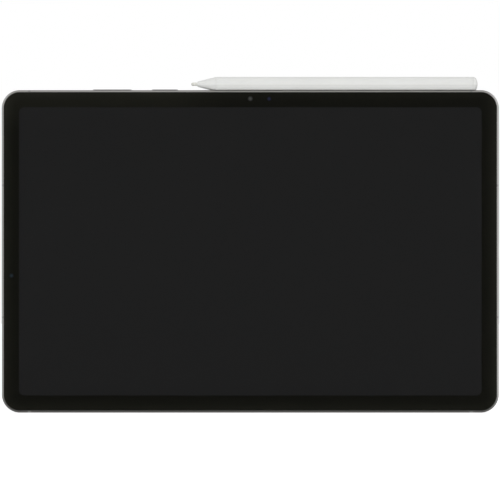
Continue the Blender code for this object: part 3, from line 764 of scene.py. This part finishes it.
def make_front_sensors():
    """What shows in the border's three openings: a camera behind its lens, and two sensors."""
    front, back = INK_BACK + 0.01 * MM, INK_BACK + 0.03 * MM
    looks = (
        ("front_camera_lens", FRONT_CAMERA, 1.6, (0.078, 0.079, 0.076), (0.009, 0.009, 0.008)),
        ("light_sensor_lens", LIGHT_SENSOR, 1.35, (0.023, 0.026, 0.07), (0.008, 0.0085, 0.008)),
        ("side_sensor_lens", SIDE_SENSOR, 1.3, (0.024, 0.038, 0.054), (0.0085, 0.009, 0.0085)),
    )
    for name, place, radius, centre, rim in looks:
        size = radius * MM
        lens = turned(name, [(0.0, front), (size, front), (size, back), (0.0, back)], place, "Y", 48)
        material = deep_optic(name + "_coating", centre, rim, place, size)
        finish(lens, material, "tablet", "sensor_plastic")


def make_keys():
    """Each key's rounded face, and the flange that keeps it in its hole."""
    for name, body in (("volume_key", "volume_rocker"), ("power_key", "power_button")):
        face_low, face_high = key_face(body)
        flange_low, flange_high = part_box(body)
        form = bmesh.new()
        add_box(form, face_low, face_high, "Z", NEAR_ROUND * (face_high.y - face_low.y) / 2, 12)
        round_end(form, "Z", face_high.z, 0.12 * MM, 4)
        key = solid(name, form)
        flange_high.z = flange_low.z + 0.5 * MM
        join(key, box("flange", flange_low, flange_high))
        finish(key, KEY_METAL, body, "key_aluminium", body)


# ---------------------------------------------------------------- the back and the sides

def make_rear_camera():
    """The raised ring, its window, and the black baffle round the lens."""
    low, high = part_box("rear_camera_ring")
    middle = (low + high) / 2
    outer = (high.x - low.x) / 2
    neck, seat, bore = 5.7 * MM, 5.1 * MM, 4.0 * MM
    flange = BACK + FIT
    window_front, window_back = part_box("rear_camera_window")[0].y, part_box("rear_camera_window")[1].y
    shelf = window_front - FIT
    corner = 0.2 * MM
    profile = [
        (seat + 0.1 * MM, high.y),
        *arc((outer - corner, high.y - corner), corner, QUARTER, 0.0, 5),
        (outer, flange),
        (neck, flange),
        (neck, low.y),
        (bore, low.y),
        (bore, shelf),
        (seat, shelf),
        (seat, high.y - 0.1 * MM),
    ]
    finish(turned("camera_ring", profile, middle, "Y", 96), RING_METAL, "tablet", "camera_ring",
           "rear_camera_ring")
    radius = 5.0 * MM
    profile = [(0.0, window_front), (radius, window_front), (radius, window_back - 0.1 * MM),
               (radius - 0.1 * MM, window_back), (0.0, window_back)]
    finish(turned("camera_window", profile, middle, "Y", 96), CAMERA_GLASS, "tablet", "camera_glass",
           "rear_camera_window")
    baffle = [(2.7 * MM, window_front - 0.01 * MM), (3.95 * MM, window_front - 0.01 * MM),
              (3.95 * MM, window_front - 0.25 * MM), (3.1 * MM, window_front - 0.25 * MM)]
    finish(turned("camera_baffle", baffle, middle, "Y", 64), BLACK, "tablet", "sensor_plastic")
    make_focusing_lens(middle)


def make_focusing_lens(middle):
    """The stepped barrel that slides to focus, and the coated glass in its mouth."""
    low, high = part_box("rear_camera_lens")
    profile = [(0.0, high.y - 0.5 * MM), (1.5 * MM, high.y - 0.5 * MM)]
    for step in range(3):
        radius = (1.5 + 0.35 * step) * MM
        depth = high.y - (0.35 - 0.12 * step) * MM
        profile += [(radius, depth), (radius + 0.35 * MM, depth)]
    outer = (high.x - low.x) / 2
    profile += [(2.6 * MM, high.y), (outer - 0.1 * MM, high.y), (outer, high.y - 0.1 * MM),
                (outer, low.y), (0.0, low.y)]
    finish(turned("camera_barrel", profile, middle, "Y", 64), BLACK, "rear_camera_lens",
           "sensor_plastic", "rear_camera_lens")
    base = high.y - 0.48 * MM
    rise = 0.3 * MM
    radius = 1.45 * MM
    angles = [QUARTER * step / 8 for step in range(9)]
    dome = [(radius * math.cos(a), base + rise * math.sin(a)) for a in angles]
    glass = turned("camera_front_element", [(0.0, base), *dome], middle, "Y", 48)
    coating = coated_optic("camera_coating", (0.02, 0.012, 0.035), (0.01, 0.03, 0.035), middle, radius)
    finish(glass, coating, "rear_camera_lens", "sensor_plastic")


def make_flash():
    """The flash's window, which shows in the back beside the camera."""
    low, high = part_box("flash_lens")
    middle = (low + high) / 2
    radius = (high.x - low.x) / 2
    profile = [(0.0, low.y), (radius, low.y), (radius, high.y - 0.15 * MM),
               (radius - 0.15 * MM, high.y), (0.0, high.y)]
    finish(turned("flash_window", profile, middle, "Y", 48), flash_optic(middle, radius), "tablet",
           "flash_plastic", "flash_lens")


def make_usb_port():
    """The drawn steel shell, the tongue, and the contacts on both faces of the tongue."""
    low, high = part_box("usb_port_shell")
    half = (high.y - low.y) / 2
    wall = 0.3 * MM
    form = bmesh.new()
    add_box(form, low, high, "X", NEAR_ROUND * half, 16)
    round_end(form, "X", high.x, 0.1 * MM, 3)
    shell = solid("usb_shell", form)
    inner_low = low + Vector((wall, wall, wall))
    inner_high = high + Vector((1 * MM, -wall, -wall))
    carve(shell, box("inside", inner_low, inner_high, "X", NEAR_ROUND * (half - wall), 16))
    finish(shell, STEEL, "tablet", "inner_steel", "usb_port_shell")
    low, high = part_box("usb_port_tongue")
    form = bmesh.new()
    add_box(form, low, high, "Y", 0.4 * MM, 5)
    round_end(form, "X", high.x, 0.15 * MM, 3)
    finish(solid("usb_tongue", form), BLACK, "tablet", "speaker_plastic", "usb_port_tongue")
    form = bmesh.new()
    count, pitch, width, thick = 12, 0.5 * MM, 0.25 * MM, 0.02 * MM
    inner, outer = high.x - 3.2 * MM, high.x - 0.5 * MM
    for number in range(count):
        z = MIDDLE + pitch * (number - (count - 1) / 2)
        for y in (low.y - thick, high.y):
            add_box(form, (inner, y, z - width / 2), (outer, y + thick, z + width / 2))
    finish(solid("usb_contacts", form), CONTACTS, "tablet", "copper")


def make_card_tray():
    """The tray's face, its plate with the card's pocket, and the hole for the pin."""
    low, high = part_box("card_tray")
    centre_y, middle_z = (low.y + high.y) / 2, (low.z + high.z) / 2
    form = bmesh.new()
    add_box(form, (high.x - 1.6 * MM, low.y, low.z), high, "X", TRAY_ROUND * (high.y - low.y) / 2, 12)
    round_end(form, "X", high.x, 0.08 * MM, 3)
    tray = solid("tray", form)
    plate_low = (low.x, centre_y - 0.4 * MM, low.z + 1 * MM)
    plate_high = (high.x - 1.4 * MM, centre_y + 0.4 * MM, high.z - 1 * MM)
    join(tray, box("plate", plate_low, plate_high, "Y", 0.8 * MM, 4))
    carve(tray, outer_form("outside"), operation="INTERSECT")
    pocket_low = (low.x + 1.5 * MM, centre_y - 0.2 * MM, middle_z - 5.6 * MM)
    pocket_high = (high.x - 3.2 * MM, centre_y + 1 * MM, middle_z + 5.6 * MM)
    pin = (0.0, centre_y, high.z - 1.8 * MM)
    carve(
        tray,
        box("card_pocket", pocket_low, pocket_high, "Y", 0.8 * MM, 4),
        rod("pin_hole", pin, 0.4 * MM, high.x - 1.2 * MM, high.x + 1 * MM, "X", 24),
    )
    finish(tray, ALUMINIUM, "card_tray", "frame_aluminium", "card_tray")


# ---------------------------------------------------------------- the stylus

def flatten(piece):
    """Cuts the side that lies on the tablet, and rounds the edges that this leaves."""
    z = stylus_axis().z - STYLUS_FLAT
    reach = 10 * MM
    low = (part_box("stylus_cone")[0].x - reach, -reach, z - reach)
    high = (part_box("stylus_cap")[1].x + reach, reach, z)
    carve(piece, box("flat", low, high))
    soften(piece, STYLUS_EDGE)


def make_stylus():
    """The barrel and the tip's cone, both with the flat side."""
    axis = stylus_axis()
    low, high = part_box("stylus_barrel")
    barrel = [
        (STYLUS_BORE, low.x),
        (STYLUS_RADIUS, low.x),
        (STYLUS_RADIUS, high.x),
        (STYLUS_BORE, high.x),
    ]
    piece = turned("stylus_body", barrel, axis, "X", 96)
    flatten(piece)
    finish(piece, WHITE, "stylus", "stylus_plastic", "stylus_barrel")
    low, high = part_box("stylus_cone")
    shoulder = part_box("stylus_barrel")[0].x - FIT
    bore = NIB_RADIUS + 0.15 * MM
    spigot = STYLUS_BORE - 0.1 * MM
    cone = [
        (bore, low.x),
        (CONE_END_RADIUS, low.x),
        (STYLUS_RADIUS, shoulder),
        (spigot, shoulder),
        (spigot, high.x),
        (bore, high.x),
    ]
    piece = turned("stylus_tip_cone", cone, axis, "X", 96)
    flatten(piece)
    finish(piece, WHITE, "stylus", "stylus_plastic", "stylus_cone")
    make_stylus_ends(axis, spigot)


def make_stylus_ends(axis, spigot):
    """The nib, and the cap with its domed end."""
    low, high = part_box("stylus_nib")
    tip = arc((0.0, low.x + NIB_RADIUS), NIB_RADIUS, -QUARTER, 0.0, 12)
    tip[0] = (0.0, low.x)
    nib = turned("stylus_point", [*tip, (NIB_RADIUS, high.x), (0.0, high.x)], axis, "X", 48)
    worn = (low.x, low.x + 1.5 * MM, (0.66, 0.66, 0.60))
    finish(nib, white_satin("nib_white", (0.80, 0.80, 0.75), 0.5, worn), "stylus_nib", "nib_plastic",
           "stylus_nib")
    low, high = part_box("stylus_cap")
    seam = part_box("stylus_barrel")[1].x + FIT
    corner = STYLUS_RADIUS - CAP_ROUND
    rings = arc((corner, high.x - CAP_ROUND), CAP_ROUND, 0.0, QUARTER, 8)
    rings += [(corner * step / 8, high.x) for step in range(7, 0, -1)]
    dome = [(radius, x - CAP_DOME * (radius / STYLUS_RADIUS) ** 2) for radius, x in rings]
    cap = [(0.0, low.x), (spigot, low.x), (spigot, seam), (STYLUS_RADIUS, seam), *dome, (0.0, high.x)]
    piece = turned("stylus_end", cap, axis, "X", 96)
    flatten(piece)
    finish(piece, WHITE, "stylus", "stylus_plastic", "stylus_cap")


# ---------------------------------------------------------------- CAD parts that stay

def dress(material, *names):
    """Gives CAD nodes that keep their shape a finished material."""
    for name in names:
        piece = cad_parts[name]
        piece.data.materials.clear()
        piece.data.materials.append(material)


def dress_inner_parts():
    dress(DISPLAY, "display_panel")
    dress(LIGHT_GUIDE, "backlight")
    dress(FOAM, "display_adhesive")
    dress(BLACK, "front_camera", "light_sensor", "side_sensor", "rear_camera_module")
    dress(BOARD, "main_board", "port_board", "stylus_board")
    dress(POUCH, "battery_cell_left", "battery_cell_right", "stylus_battery")
    dress(COPPER, "board_link", "dock_coil", "stylus_coil")
    dress(STEEL, "mid_plate", "card_socket", "processor_shield", "board_screw_1", "board_screw_2")
    dress(STEEL, "power_switch", "volume_switches", "microphone")
    dress(STEEL, "nib_sensor", "dock_magnet", "stylus_magnet")
    for side in ("left", "right"):
        for level in ("lower", "upper"):
            dress(BLACK, f"speaker_{side}_{level}")
            dress(MESH, f"speaker_{side}_{level}_mesh")


# ---------------------------------------------------------------- the stage

PIXEL = 0.5108 * MM
PICTURE_WIDTH = 500 * PIXEL
CAMERA_AWAY = 2.5
SENSOR_WIDTH = 36.0
VIEW_CENTRE = Vector((-0.153 * MM, -2.2 * MM, MIDDLE + 0.69 * MM))
FLOOR_REACH = 3.0
FLOOR_GREY = 0.6
FLOOR_GLOW = 0.7

# The tent's light towards each side, and the half angles of its dark opening
TENT_ABOVE = 0.82
TENT_BELOW = 0.26
TENT_LEFT = 1.45
TENT_RIGHT = 2.0
TENT_BEHIND = 0.48
TENT_FADE = 0.35
TENT_OPENING = 0.02
TENT_OPENING_CORE = 12
TENT_OPENING_EDGE = 32


def make_camera():
    data = bpy.data.cameras.new("camera")
    data.sensor_width = SENSOR_WIDTH
    data.lens = SENSOR_WIDTH * CAMERA_AWAY / PICTURE_WIDTH
    data.clip_end = 20.0
    camera = bpy.data.objects.new("camera", data)
    camera.location = VIEW_CENTRE - Vector((0.0, CAMERA_AWAY, 0.0))
    camera.rotation_euler = (QUARTER, 0.0, 0.0)
    bpy.context.scene.collection.objects.link(camera)
    bpy.context.scene.camera = camera


def make_floor():
    """A plain pale table that glows faintly, so that it stays as white as its surroundings."""
    form = bmesh.new()
    bmesh.ops.create_grid(form, x_segments=1, y_segments=1, size=FLOOR_REACH)
    table = solid("floor", form)
    material, tree, shader = new_material("pale_floor")
    grain = spread(tree, noise(tree, 3 * MM), FLOOR_GREY - 0.01, FLOOR_GREY + 0.01)
    colour = node(tree, "CombineColor", {0: grain, 1: grain, 2: grain}).outputs[0]
    tree.links.new(colour, shader.inputs["Base Color"])
    shader.inputs["Roughness"].default_value = 0.9
    shader.inputs["Emission Color"].default_value = (1.0, 1.0, 1.0, 1.0)
    shader.inputs["Emission Strength"].default_value = FLOOR_GLOW
    table.data.materials.append(material)
    table.visible_glossy = False


def make_world():
    """A white light tent with a dark opening in front, where the photographer would stand."""
    world = bpy.data.worlds.new("light_tent")
    bpy.context.scene.world = world
    world.use_nodes = True
    tree = world.node_tree
    direction = node(tree, "TexCoord").outputs["Generated"]
    axes = node(tree, "SeparateXYZ", {0: direction}).outputs
    back = calc(tree, "MAXIMUM", axes[1], 0.0)
    lifted = calc(tree, "MULTIPLY_ADD", back, TENT_FADE, axes[2])
    height = ramp(tree, lifted, TENT_BELOW, TENT_ABOVE, -TENT_FADE, TENT_FADE)
    right = ramp(tree, axes[0], 1.0, TENT_RIGHT, 0.3, 1.0)
    left = ramp(tree, axes[0], TENT_LEFT, 1.0, -1.0, -0.3)
    light = calc(tree, "MULTIPLY", calc(tree, "MULTIPLY", height, right), left)
    behind = ramp(tree, axes[1], 1.0, TENT_BEHIND, 0.0, 0.9)
    light = calc(tree, "MULTIPLY", light, behind)
    forward = calc(tree, "MULTIPLY", axes[1], -1.0)
    edge, core = (math.cos(math.radians(a)) for a in (TENT_OPENING_EDGE, TENT_OPENING_CORE))
    opening = ramp(tree, forward, 1.0, TENT_OPENING, edge, core)
    light = calc(tree, "MULTIPLY", light, opening)
    seen = node(tree, "LightPath").outputs["Is Camera Ray"]
    unseen = calc(tree, "SUBTRACT", 1.0, seen)
    strength = calc(tree, "ADD", calc(tree, "MULTIPLY", light, unseen), seen)
    plug(tree, tree.nodes["Background"].inputs["Strength"], strength)
    tree.nodes["Background"].inputs["Color"].default_value = (1.0, 1.0, 1.0, 1.0)


def make_stage():
    make_camera()
    make_floor()
    make_world()
    bpy.context.scene.view_settings.view_transform = "Standard"
    bpy.context.scene.view_settings.look = "None"


make_stage()
make_shell()
make_splits()
make_front()
make_front_sensors()
make_keys()
make_rear_camera()
make_flash()
make_usb_port()
make_card_tray()
make_stylus()
dress_inner_parts()
